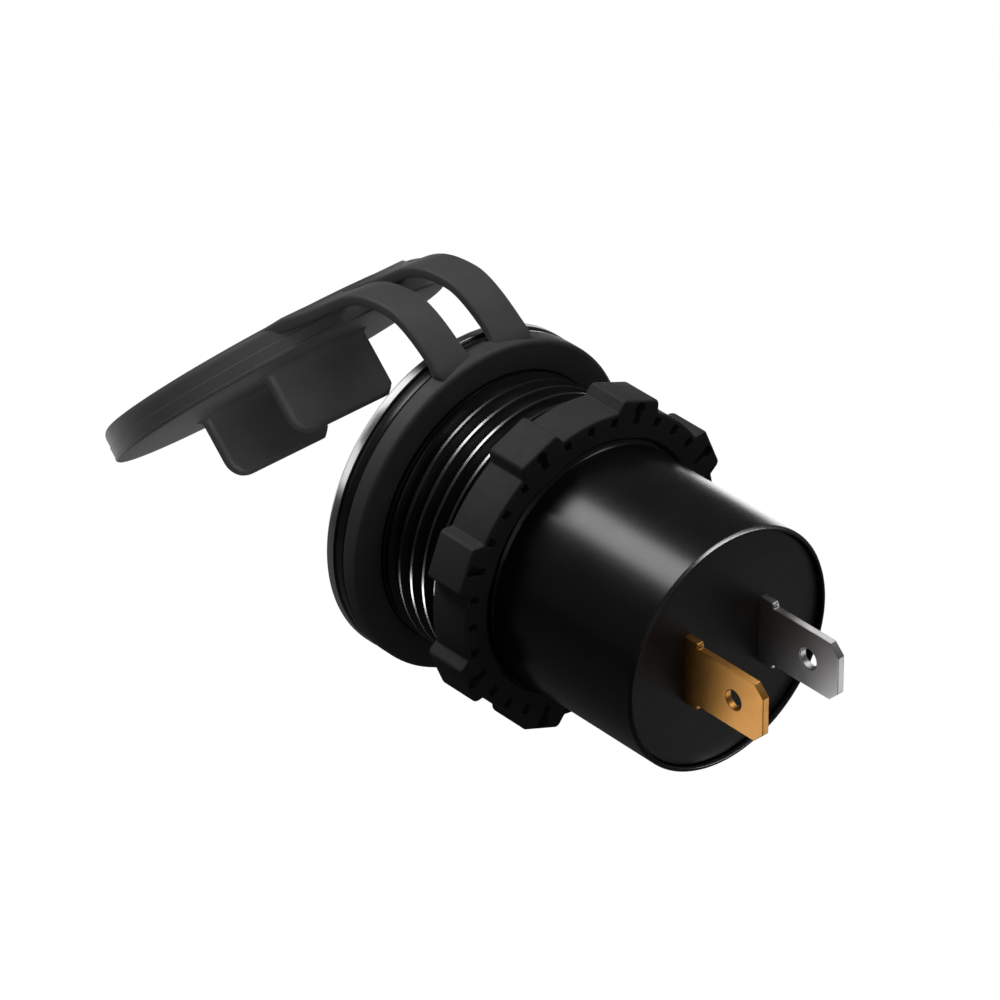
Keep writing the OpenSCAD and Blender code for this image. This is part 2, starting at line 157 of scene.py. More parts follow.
class SocketRubberSizes(bpy.types.PropertyGroup):
    strap_width: size("Strap width", "Width of one strap", 4.0, 1)
    strap_space: size("Strap space", "Free space between the straps", 3.4, 0)
    strap_thickness: size("Strap thickness", "Thickness of a strap", 1.1, 0.3)
    strap_high: size("Strap height", "Height of the top of the straps above the ring", 3.66, 1)
    strap_ahead: size("Strap reach", "Distance from the panel to the top of the straps", 8.26, 1)
    cover_radius: size("Cover radius", "Radius of the dust cover", 18.2, 10)
    cover_thickness: size("Cover thickness", "Thickness of the dust cover", 3.4, 1)
    cover_reach: size("Cover reach", "Distance from the panel to the cover's middle", 30.8, 5)
    cover_rise: size("Cover rise", "Height of the cover's middle above the axis", 0.24, -5)
    cover_open: bpy.props.FloatProperty(
        name="Cover angle",
        description="Opening angle of the cover at rest",
        default=math.radians(45.1),
        subtype="ANGLE",
    )
    plug_width: size("Plug width", "Width of a plug on the cover", 12.3, 5)
    plug_thickness: size("Plug thickness", "Thickness of a plug", 1.45, 0.5)
    plug_length: size("Plug length", "Length of a plug", 6.9, 2)
    plug_pitch: size("Plug pitch", "Distance between the middles of the plugs", 13.8, 5)
    rubber: colour("Rubber", "Colour of the rubber", "#3e3e3e")


class SocketRearSizes(bpy.types.PropertyGroup):
    tab_width: size("Tab width", "Width of a push-on tab", 6.3, 2)
    root_width: size("Root width", "Width of the shouldered root of a tab", 7.35, 2)
    root_length: size("Root length", "Length of the shouldered root", 1.8, 0.2)
    hole_radius: size("Hole radius", "Radius of the locking hole of a tab", 1.05, 0.2)
    brass: colour("Brass", "Colour of the positive tab", "#c9924e")
    tin: colour("Tin", "Colour of the negative tab", "#b9b7b8")


SIZE_GROUPS = {
    "socket_barrel": SocketBarrelSizes,
    "socket_face": SocketFaceSizes,
    "socket_nut": SocketNutSizes,
    "socket_rubber": SocketRubberSizes,
    "socket_rear": SocketRearSizes,
}


# ---------------------------------------------------------------- materials


def add_node(tree, kind, inputs=None, **settings):
    """Adds a shader node, sets its properties, and links or sets its inputs by name or number."""
    node = tree.nodes.new(kind)
    for key, value in settings.items():
        setattr(node, key, value)
    for key, value in (inputs or {}).items():
        if isinstance(value, bpy.types.NodeSocket):
            tree.links.new(value, node.inputs[key])
        else:
            node.inputs[key].default_value = value
    return node


def new_material(name):
    """An empty node material and its node tree."""
    material = bpy.data.materials.new(name)
    material.use_nodes = True
    material.node_tree.nodes.clear()
    return material, material.node_tree


def finish_material(tree, inputs):
    """Adds the surface shader with its inputs and the output node."""
    shader = add_node(tree, "ShaderNodeBsdfPrincipled", inputs)
    add_node(tree, "ShaderNodeOutputMaterial", {"Surface": shader.outputs["BSDF"]})


def mottled(tree, base, scale_mm, spread, detail=3.0):
    """The base colour, a little lighter and darker in patches of about scale_mm."""
    place = add_node(tree, "ShaderNodeTexCoord")
    noise = add_node(
        tree,
        "ShaderNodeTexNoise",
        {"Vector": place.outputs["Object"], "Scale": 1 / (scale_mm * MM), "Detail": detail},
    )
    ramp = add_node(tree, "ShaderNodeValToRGB", {"Fac": noise.outputs["Fac"]})
    dark, light = ramp.color_ramp.elements
    dark.position, light.position = 0.3, 0.7
    dark.color = [c * (1 - spread) for c in base[:3]] + [1]
    light.color = [min(1, c * (1 + spread)) for c in base[:3]] + [1]
    return place.outputs["Object"], ramp.outputs["Color"]


def grain(tree, place, scale_mm, height_mm, strength, detail=2.0):
    """A bumped normal from grain of a real size and height."""
    noise = add_node(
        tree,
        "ShaderNodeTexNoise",
        {"Vector": place, "Scale": 1 / (scale_mm * MM), "Detail": detail},
    )
    bump = add_node(
        tree,
        "ShaderNodeBump",
        {"Strength": strength, "Distance": height_mm * MM, "Height": noise.outputs["Fac"]},
    )
    return bump.outputs["Normal"]


def varied(tree, place, scale_mm, least, most):
    """A roughness that wanders between two values in patches of about scale_mm."""
    noise = add_node(
        tree, "ShaderNodeTexNoise", {"Vector": place, "Scale": 1 / (scale_mm * MM), "Detail": 2.0}
    )
    spread = add_node(
        tree, "ShaderNodeMapRange", {"Value": noise.outputs["Fac"], "To Min": least, "To Max": most}
    )
    return spread.outputs["Result"]


def polished_nylon(base):
    """Nylon moulded in a polished tool: black under a clear, slightly soft reflection."""
    material, tree = new_material("polished_moulded_nylon")
    place, tone = mottled(tree, base, 6.0, 0.15)
    finish_material(
        tree,
        {
            "Base Color": tone,
            "Roughness": varied(tree, place, 3.0, 0.24, 0.3),
            "IOR": 1.46,
            # faint flow marks of the moulding, 1.5 mm apart and far too shallow to feel
            "Normal": grain(tree, place, 1.5, 0.01, 0.12),
        },
    )
    return material


def matte_nylon(name, base, rough):
    """Glass-filled nylon or ABS from a spark-eroded tool: dry and even.

    Its grain of about 0.12 mm is too fine to show and is drawn at 0.2 mm.
    """
    material, tree = new_material(name)
    place, tone = mottled(tree, base, 2.5, 0.12)
    finish_material(
        tree,
        {
            "Base Color": tone,
            "Roughness": varied(tree, place, 1.0, rough - 0.06, rough + 0.06),
            "IOR": 1.5,
            "Normal": grain(tree, place, 0.2, 0.02, 0.35),
        },
    )
    return material


def moulded_rubber(base):
    """EPDM rubber from a blasted tool: soft and dull, with a bloom that lightens grazing faces."""
    material, tree = new_material("matte_moulded_rubber")
    place, tone = mottled(tree, base, 4.0, 0.1)
    finish_material(
        tree,
        {
            "Base Color": tone,
            "Roughness": varied(tree, place, 1.5, 0.58, 0.68),
            "IOR": 1.5,
            "Sheen Weight": 0.06,
            "Sheen Roughness": 0.5,
            "Normal": grain(tree, place, 0.25, 0.015, 0.25),
        },
    )
    return material


def bright_metal(name, base, rough, line_mm, stretch, strength):
    """Rolled, stamped or polished metal: fine lines of line_mm along the axis given by stretch."""
    material, tree = new_material(name)
    place = add_node(tree, "ShaderNodeTexCoord")
    stretched = {"Vector": place.outputs["Object"], "Scale": stretch}
    mapping = add_node(tree, "ShaderNodeMapping", stretched)
    lines = add_node(
        tree,
        "ShaderNodeTexNoise",
        {"Vector": mapping.outputs["Vector"], "Scale": 1 / (line_mm * MM), "Detail": 3.0},
    )
    bump = add_node(
        tree,
        "ShaderNodeBump",
        {"Strength": strength, "Distance": 0.005 * MM, "Height": lines.outputs["Fac"]},
    )
    finish_material(
        tree,
        {
            "Base Color": base,
            "Metallic": 1.0,
            "Roughness": varied(tree, place.outputs["Object"], 1.2, rough * 0.8, rough * 1.2),
            "Normal": bump.outputs["Normal"],
        },
    )
    return material


def small_part(name, code, rough, grain_mm, metallic=0.0, see_through=0.0):
    """Finish of a small inner piece: its common colour under a fine moulded or plated grain."""
    material, tree = new_material(name)
    place, tone = mottled(tree, linear(code), 1.5, 0.12)
    finish_material(
        tree,
        {
            "Base Color": tone,
            "Metallic": metallic,
            "Roughness": rough,
            "Transmission Weight": see_through,
            "Normal": grain(tree, place, grain_mm, 0.01, 0.25),
        },
    )
    return material


def dress(node, material):
    """Gives a CAD node that keeps its own shape a better finish."""
    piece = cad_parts[node]
    for slot in piece.material_slots:
        slot.link = "OBJECT"
        slot.material = material


# ---------------------------------------------------------------- mesh tools


def fillet(points, radii, steps=5, closed=True):
    """A flat outline with its corners rounded. radii is one number, or one for each point."""
    count = len(points)
    if not isinstance(radii, (list, tuple)):
        radii = [radii] * count
    out = []
    for i, (point, radius) in enumerate(zip(points, radii)):
        at = Vector(point)
        if radius <= 0 or (not closed and i in (0, count - 1)):
            out.append(tuple(at))
            continue
        back = Vector(points[i - 1]) - at
        ahead = Vector(points[(i + 1) % count]) - at
        reach = min(back.length, ahead.length) * 0.48
        a, b = back.normalized(), ahead.normalized()
        half = math.acos(max(-1, min(1, a.dot(b)))) / 2
        if half < 1e-3 or half > math.pi / 2 - 1e-3:
            out.append(tuple(at))
            continue
        length = min(radius / math.tan(half), reach)
        radius = length * math.tan(half)
        centre = at + (a + b).normalized() * (radius / math.sin(half))
        first = (at + a * length - centre).normalized()
        last = (at + b * length - centre).normalized()
        for k in range(steps + 1):
            out.append(tuple(centre + first.slerp(last, k / steps) * radius))
    return out


def soft_profile(corners, steps=5, closed=True):
    """An outline from corners that each hold two coordinates and a rounding."""
    points = [corner[:2] for corner in corners]
    return fillet(points, [corner[2] for corner in corners], steps, closed)


def evaluated_mesh(holder):
    """The final mesh of an object with its modifiers or curve settings."""
    bpy.context.view_layer.update()
    graph = bpy.context.evaluated_depsgraph_get()
    return bpy.data.meshes.new_from_object(holder.evaluated_get(graph))


def mesh_object(name, mesh, material, sharp_deg=35):
    """Links a mesh in metres, shades it smooth but for real edges, and gives it its material."""
    mesh.materials.clear()
    mesh.materials.append(material)
    for face in mesh.polygons:
        face.use_smooth = True
    mesh.set_sharp_from_angle(angle=math.radians(sharp_deg))
    piece = bpy.data.objects.new(name, mesh)
    bpy.context.scene.collection.objects.link(piece)
    return piece


def to_mesh(name, vertices, faces):
    """Mesh from points in millimetres, with doubles merged and normals outwards."""
    mesh = bpy.data.meshes.new(name)
    mesh.from_pydata([[c * MM for c in v] for v in vertices], [], faces)
    work = bmesh.new()
    work.from_mesh(mesh)
    bmesh.ops.remove_doubles(work, verts=work.verts, dist=1e-7)
    bmesh.ops.dissolve_degenerate(work, edges=work.edges, dist=1e-7)
    bmesh.ops.recalc_face_normals(work, faces=work.faces)
    work.to_mesh(mesh)
    work.free()
    return mesh


def turn(name, profile, segments=192, closed=True):
    """Mesh turned about Y from a profile of radius and Y in millimetres."""
    vertices, faces = [], []
    rows = len(profile)
    for i in range(segments):
        a = 2 * math.pi * i / segments
        for r, y in profile:
            vertices.append((r * math.sin(a), y, r * math.cos(a)))
    for i in range(segments):
        j = (i + 1) % segments
        for k in range(rows if closed else rows - 1):
            m = (k + 1) % rows
            faces.append((i * rows + k, i * rows + m, j * rows + m, j * rows + k))
    return to_mesh(name, vertices, faces)


def loft(name, sections, caps=True):
    """Mesh through closed sections of equal length, with its ends filled."""
    vertices = [p for s in sections for p in s]
    count = len(sections[0])
    faces = []
    for i in range(len(sections) - 1):
        for k in range(count):
            m = (k + 1) % count
            faces.append((i * count + k, i * count + m, (i + 1) * count + m, (i + 1) * count + k))
    if caps:
        faces.append(tuple(range(count - 1, -1, -1)))
        faces.append(tuple((len(sections) - 1) * count + k for k in range(count)))
    return to_mesh(name, vertices, faces)


def plate(name, outlines, thickness, edge, place):
    """Flat plate from an outline and its holes in millimetres, with soft edges, then placed."""
    curve = bpy.data.curves.new(name, "CURVE")
    curve.dimensions = "2D"
    curve.fill_mode = "BOTH"
    curve.extrude = (thickness / 2 - edge) * MM
    curve.bevel_depth = edge * MM
    curve.bevel_resolution = 2
    curve.offset = -edge * MM
    for outline in outlines:
        spline = curve.splines.new("POLY")
        spline.points.add(len(outline) - 1)
        for point, (x, y) in zip(spline.points, outline):
            point.co = (x * MM, y * MM, 0, 1)
        spline.use_cyclic_u = True
    holder = bpy.data.objects.new(name, curve)
    bpy.context.scene.collection.objects.link(holder)
    mesh = evaluated_mesh(holder)
    bpy.data.objects.remove(holder)
    work = bmesh.new()
    work.from_mesh(mesh)
    bmesh.ops.remove_doubles(work, verts=work.verts, dist=1e-6)
    bmesh.ops.recalc_face_normals(work, faces=work.faces)
    work.to_mesh(mesh)
    work.free()
    mesh.transform(place)
    return mesh


def circle(x, y, radius, count=48):
    """Points round a circle."""
    angles = [2 * math.pi * i / count for i in range(count)]
    return [(x + radius * math.cos(a), y + radius * math.sin(a)) for a in angles]


def rectangle(x, y, width, height, radius, steps=4):
    """Points round a rectangle with rounded corners."""
    w, h = width / 2, height / 2
    corners = [(x - w, y - h), (x + w, y - h), (x + w, y + h), (x - w, y + h)]
    return fillet(corners, radius, steps)


def joined(name, meshes):
    """One mesh out of several."""
    work = bmesh.new()
    for mesh in meshes:
        work.from_mesh(mesh)
    out = bpy.data.meshes.new(name)
    work.to_mesh(out)
    work.free()
    return out


def cut(piece, cutter):
    """Cuts a mesh object with another and applies the result."""
    modifier = piece.modifiers.new("cut", "BOOLEAN")
    modifier.operation = "DIFFERENCE"
    modifier.solver = "EXACT"
    modifier.object = cutter
    result = evaluated_mesh(piece)
    piece.modifiers.clear()
    piece.data = result
    bpy.data.objects.remove(cutter)


# Flat XY shape to the X and Z plane, thick along Y
FACING = Matrix.Rotation(math.radians(90), 4, "X")
# Flat XY shape to the Y and Z plane, thick along X
EDGEWISE = Matrix(((0, 0, 1, 0), (1, 0, 0, 0), (0, 1, 0, 0), (0, 0, 0, 1)))


# ---------------------------------------------------------------- pieces


class SOCKET_OT_barrel(bpy.types.Operator):
    """Makes the polished barrel with its helical thread, flange and rear rim"""

    bl_idname = "socket.barrel"
    bl_label = "Barrel"

    def execute(self, context):
        sizes = context.scene.socket_barrel
        pitch, depth = sizes.thread_pitch / MM, sizes.thread_depth / MM
        outer, front, back = high("housing", 0), low("housing", 1), low("gasket_ring", 1)
        end, cap = high("housing", 1), low("end_cap", 1)
        barrel, bore = sizes.barrel_radius / MM, sizes.bore_radius / MM
        rim = barrel - sizes.rim_wall / MM
        root = THREAD_RADIUS - depth
        thread_end = high("mounting_nut", 1) + 0.55
        # the flange's mouth lies under the bezel, and the face plate sits in the insert's bore
        mouth, insert, seat = outer - 3.5, high("front_insert", 0) + 0.05, front + 1.0
        wall, draft, lip = 0.8, 0.28, 0.4
        corners = [
            (mouth, front, 0),
            (outer - draft, front, 0.22),
            (outer, back, 0.16),
            (THREAD_RADIUS, back, 0.1),
            (THREAD_RADIUS, 0.35, 0.1),
            (root - 0.1, 0.6, 0),
            (root - 0.1, thread_end - 0.3, 0),
            (barrel, thread_end, 0.1),
            (barrel, end - lip, 0),
            (rim, end - lip, 0),
            (rim, cap, 0.05),
            (barrel - wall, cap, 0.1),
            (barrel - wall, thread_end + wall, 0),
            (bore, thread_end + wall, 0),
            (bore, 0.0, 0),
            (insert, -0.4, 0),
            (insert, seat, 0),
            (mouth, seat, 0),
        ]
        edge_corners = [
            (barrel, end - lip, 0),
            (barrel, end - 0.3, 0.3),
            (barrel - 0.2, end, 0.12),
            (rim, end, 0.06),
            (rim, end - lip, 0),
        ]
        nylon = polished_nylon(sizes.nylon)
        body = turn("barrel_moulding", soft_profile(corners, 4), 256)
        edge = turn("barrel_rim", soft_profile(edge_corners, 4), 256)
        thread = self.thread(root, pitch, thread_end)
        meshes = {"barrel_moulding": body, "barrel_rim": edge, "barrel_thread": thread}
        for name, mesh in meshes.items():
            piece = mesh_object(name, mesh, nylon, 40)
            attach(piece, "socket")
            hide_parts("housing")
        return {"FINISHED"}

    def thread(self, root, pitch, end):
        """One start of thread: rows follow the helix, so that its crest is a clean line."""
        # place along the pitch and height, both as a share
        shape = [(0.0, 0), (0.07, 0), (0.13, 0.06), (0.36, 0.92), (0.42, 1)]
        shape += [(0.58, 1), (0.64, 0.92), (0.87, 0.06), (0.93, 0)]
        segments, turns = 192, int(end / pitch) + 2
        rows = turns * len(shape)
        start = -0.25 * pitch
        vertices, faces = [], []
        for i in range(segments):
            part = i / segments
            for row in range(rows):
                lap, k = divmod(row, len(shape))
                y = start + (lap + shape[k][0] + part - 1) * pitch
                fade = max(0.0, min(1.0, (end - 0.3 - y) / (0.8 * pitch)))
                y = max(-0.6, min(end + 0.2, y))
                r = root - 0.2 + (0.2 + (THREAD_RADIUS - root) * shape[k][1]) * fade
                a = 2 * math.pi * part
                vertices.append((r * math.sin(a), y, r * math.cos(a)))
        for i in range(segments):
            shift = len(shape) if i == segments - 1 else 0
            j = (i + 1) % segments
            for row in range(rows - 1):
                if row + 1 + shift < rows:
                    here, there = i * rows + row, j * rows + row + shift
                    faces.append((here, here + 1, there + 1, there))
        return to_mesh("barrel_thread", vertices, faces)


class SOCKET_OT_face(bpy.types.Operator):
    """Makes the chromed bezel and the face plate with its two port openings"""

    bl_idname = "socket.face"
    bl_label = "Face"

    def execute(self, context):
        sizes = context.scene.socket_face
        nylon = matte_nylon("grained_moulded_nylon", linear("#151515"), 0.5)
        self.bezel(sizes)
        self.plate(sizes, nylon)
        steel_grey = linear("#c9c9cc")
        steel = bright_metal("nickel_plated_steel_sheet", steel_grey, 0.25, 0.1, (1, 0.1, 1), 0.2)
        dress("upper_port_shell", steel)
        dress("lower_port_shell", steel)
        # liquid crystal polymer, the usual insulator of a port: off-white with a faint grain
        polymer = small_part("moulded_liquid_crystal_polymer", "#e2e0da", 0.45, 0.15)
        dress("upper_port_tongue", polymer)
        dress("lower_port_tongue", polymer)
        gold = bright_metal("gold_plated_bronze", linear("#e0b860"), 0.2, 0.05, (1, 0.1, 1), 0.15)
        dress("upper_port_contacts", gold)
        dress("lower_port_contacts", gold)
        return {"FINISHED"}

    def bezel(self, sizes):
        """The polished ring on the front of the flange."""
        outer, front, back = high("face_bezel", 0), low("face_bezel", 1), high("face_bezel", 1)
        flange = low("housing", 1)
        inner = outer - 4.25
        skirt = inner + 0.75
        corners = [
            (inner, front, 0.35),
            (outer, front, 0.3),
            (outer, flange, 0.05),
            (skirt, flange, 0),
            (skirt, back, 0),
            (inner, back, 0.1),
        ]
        # chrome plate on a polished brass ring: a near mirror with the faintest turning lines
        chrome = bright_metal("chrome_plated_brass", sizes.chrome, 0.22, 0.5, (0.3, 1, 0.3), 0.02)
        mesh = turn("chromed_bezel", soft_profile(corners, 6), 256)
        piece = mesh_object("chromed_bezel", mesh, chrome)
        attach(piece, "socket")
        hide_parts("face_bezel")

    def plate(self, sizes, nylon):
        """The face plate in three layers: visible face, collar, and spigot in the barrel."""
        outer = high("front_insert", 0)
        front, back = low("front_insert", 1), high("front_insert", 1)
        width, height = sizes.port_width / MM, sizes.port_height / MM
        offsets = [side * sizes.port_pitch / MM / 2 for side in (-1, 1)]
        rear = [rectangle(0, z, width + 0.75, height + 0.75, 0.3) for z in offsets]
        holes = [rectangle(0, z, width + 0.1, height + 0.1, 0.35) for z in offsets]
        lamp = circle(0, 0, sizes.light_radius / MM + 0.06, 32)
        rim, spigot_rim = circle(0, 0, outer, 160), circle(0, 0, 11.45, 160)
        # outlines, thickness, soft edge and the middle's place along Y
        layers = {
            "face_plate": ([rim, *holes, lamp], 0.6, 0.12, front + 0.3),
            "face_disc": ([rim, *rear, lamp], 0.4, 0.02, front + 0.8),
            "face_spigot": (
                [spigot_rim, *rear, lamp],
                back - front - 1.0,
                0.1,
                (front + 1.0 + back) / 2,
            ),
        }
        meshes = [
            plate(name, outlines, thick, edge, Matrix.Translation((0, y * MM, 0)) @ FACING)
            for name, (outlines, thick, edge, y) in layers.items()
        ]
        piece = mesh_object("face_plate", joined("face_plate", meshes), nylon)
        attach(piece, "socket")
        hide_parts("front_insert")


class SOCKET_OT_inside(bpy.types.Operator):
    """Finishes the boards and components that the barrel hides"""

    bl_idname = "socket.inside"
    bl_label = "Inside"

    def execute(self, context):
        finishes = {
            "moulded_acrylic": ("#dfe9f2", 0.08, 0.3, 0.0, 0.9),
            "silicone_lens_package": ("#f2eec8", 0.3, 0.2, 0.0, 0.0),
            "glass_epoxy_laminate": ("#0f4a2a", 0.35, 0.3, 0.0, 0.0),
            "moulded_epoxy": ("#1b1b1c", 0.55, 0.1, 0.0, 0.0),
            "sintered_ferrite": ("#333336", 0.7, 0.15, 0.0, 0.0),
            "drawn_aluminium_can": ("#b4b5b8", 0.3, 0.2, 1.0, 0.0),
            "fired_ceramic": ("#cfcabb", 0.5, 0.1, 0.0, 0.0),
        }
        worn_by = {
            "light_pipe": "moulded_acrylic",
            "indicator_led": "silicone_lens_package",
            "port_board": "glass_epoxy_laminate",
            "power_board": "glass_epoxy_laminate",
            "board_link": "moulded_epoxy",
            "converter_chip": "moulded_epoxy",
            "inductor": "sintered_ferrite",
            "input_capacitor": "drawn_aluminium_can",
            "output_capacitor": "drawn_aluminium_can",
            "fuse": "fired_ceramic",
        }
        made = {name: small_part(name, *values) for name, values in finishes.items()}
        for node, name in worn_by.items():
            dress(node, made[name])
        return {"FINISHED"}


class SOCKET_OT_nut(bpy.types.Operator):
    """Makes the ring nut with its lugs and moulded pockets"""

    bl_idname = "socket.nut"
    bl_label = "Ring nut"

    def execute(self, context):
        sizes = context.scene.socket_nut
        front, back = low("mounting_nut", 1), high("mounting_nut", 1)
        low_r = sizes.low_radius / MM
        bore = THREAD_RADIUS - context.scene.socket_barrel.thread_depth / MM + 0.08
        outline = self.outline(sizes.lugs, low_r, sizes.lug_width / MM)
        sections = []
        for kind, value, y in self.rows(front, back, bore):
            ring = []
            for a, r in outline:
                radius = value if kind == "bore" else r - value
                ring.append((radius * math.sin(a), y, radius * math.cos(a)))
            sections.append(ring)
        sections.append(sections[0])
        mesh = loft("ring_nut", sections, caps=False)
        nylon = matte_nylon("matte_moulded_nylon", sizes.nylon, 0.74)
        piece = mesh_object("ring_nut", mesh, nylon, 30)
        cut(piece, self.pockets(sizes, back, low_r))
        piece.data.set_sharp_from_angle(angle=math.radians(30))
        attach(piece, "nut")
        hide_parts("mounting_nut")
        return {"FINISHED"}

    def outline(self, lugs, low_r, width):
        """Angles and radii round the nut, with soft corners on each lug."""
        step = 2 * math.pi / lugs
        flat = []
        for i in range(lugs):
            mid = (i + 0.5) * step
            half_top, half_foot = width / 2 / LUG_RADIUS, (width / 2 + 0.38) / low_r
            foot = fillet(
                [
                    (-(step / 2) * low_r * 0.8, low_r),
                    (-half_foot * low_r, low_r),
                    (-half_top * LUG_RADIUS, LUG_RADIUS),
                    (half_top * LUG_RADIUS, LUG_RADIUS),
                    (half_foot * low_r, low_r),
                    ((step / 2) * low_r * 0.8, low_r),
                ],
                [0, 0.2, 0.4, 0.4, 0.2, 0],
                6,
                closed=False,
            )
            for s, r in foot[1:-1]:
                flat.append((mid + s / r, r))
            for k in range(1, 12):
                last = half_foot + (step - 2 * half_foot) * k / 12
                flat.append((mid + last, low_r))
        return flat

    def rows(self, front, back, bore):
        """Rows across the nut's section: a bore radius, or an inset from the outline, and Y."""
        soft = 0.25
        rows = [("bore", bore + 1.35, front), ("bore", bore + 1.6, front)]
        for k in range(5):
            a = math.radians(90 * k / 4)
            rows.append(("rim", 0.5 * (1 - math.sin(a)), front + 0.5 * (1 - math.cos(a))))
        for k in range(5):
            a = math.radians(90 * k / 4)
            rows.append(("rim", soft * (1 - math.cos(a)), back - soft * (1 - math.sin(a))))
        rows += [("bore", bore + 1.6, back), ("bore", bore + 0.5, back), ("bore", bore, back - 0.5)]
        rows.append(("bore", bore, front + 0.9))
        return rows

    def pockets(self, sizes, back, low_r):
        """Slots round the rear face, keyhole-shaped in each lug."""
        count = sizes.lugs * 4
        pocket, deep = sizes.pocket_width / MM, sizes.pocket_depth / MM
        half, inner, outer = pocket / 2, 14.44, low_r - 0.42
        eye, eye_at = 0.62, 16.1
        slot = rectangle(0, (inner + outer) / 2, pocket, outer - inner, 0.12, 3)
        neck = math.asin(half / eye)
        keyhole = [(-half, inner + 0.1), (-half + 0.1, inner)]
        keyhole += [(half - 0.1, inner), (half, inner + 0.1)]
        for k in range(25):
            a = -math.pi / 2 + neck + (2 * math.pi - 2 * neck) * k / 24
            keyhole.append((eye * math.cos(a), eye_at + eye * math.sin(a)))
        meshes = []
        for i in range(count):
            angle = (i + 0.5) / count * 2 * math.pi + math.pi / count
            c, s = math.cos(angle), math.sin(angle)
            flat = [(x * c + z * s, z * c - x * s) for x, z in (keyhole if i % 4 == 1 else slot)]
            ends = [[(x, y, z) for x, z in flat] for y in (back - deep, back + 0.5)]
            meshes.append(loft("pocket", ends))
        return mesh_object("pockets", joined("pockets", meshes), bpy.data.materials[0])


def bezier(p, t):
    """Point and direction on a curve with four control points."""
    u = 1 - t
    at = p[0] * u**3 + p[1] * 3 * u**2 * t + p[2] * 3 * u * t * t + p[3] * t**3
    way = (p[1] - p[0]) * u**2 + (p[2] - p[1]) * 2 * u * t + (p[3] - p[2]) * t * t
    return at, way.normalized()


def strap_curve(sizes):
    """Outer side of a strap: points and directions in Y and Z, from the ring into the cover."""
    ring, back = high("gasket_ring", 0), low("gasket_ring", 1)
    radius, thick = high("dust_cover", 0), sizes.cover_thickness / MM
    middle = Vector((-sizes.cover_reach, sizes.cover_rise)) / MM
    sine, cosine = math.sin(sizes.cover_open), math.cos(sizes.cover_open)

    def on_cover(along, n):
        """A point of the cover's own plane: distance from its middle, and depth."""
        return middle + Vector((along * sine + n * cosine, along * cosine - n * sine))

    top = Vector((-sizes.strap_ahead / MM, ring + sizes.strap_high / MM))
    climb = [
        Vector((back / 2 + 0.7, ring - 0.8)),
        Vector((back / 2 - 0.55, ring + 0.5)),
        top + Vector((2.7, 0)),
        top,
    ]
    fall = [
        top,
        top - Vector((6.6, 0)),
        on_cover(radius + 5.3, -thick * 0.42),
        on_cover(radius - 1.3, -thick),
    ]
    # the root leaves the flat rear face of the ring and leans into the climb
    neck, lean = bezier(climb, 0.25)
    foot = Vector((-0.03, ring - 2.3))
    root = [foot, foot + Vector((0, 1.2)), neck - lean * 1.1, neck]
    points = [bezier(root, i / 12) for i in range(13)]
    points += [bezier(climb, 0.25 + 0.75 * i / 20) for i in range(1, 21)]
    points += [bezier(fall, i / 26) for i in range(1, 27)]
    way = points[-1][1]
    for k in STRAP_TAIL:
        points.append((on_cover(radius - 1.3 - k, -thick + 0.03 * k), way))
    return points


def strap_section(at, way, near, far, thick, soft):
    """Rounded section of a strap under a point of its outer side, between two places across."""
    inward = Vector((-way[1], way[0]))
    out = []
    for x, t in rectangle((near + far) / 2, thick / 2, abs(far - near), thick, soft, 4):
        spot = at + inward * t
        out.append((x, spot[0], spot[1]))
    return out


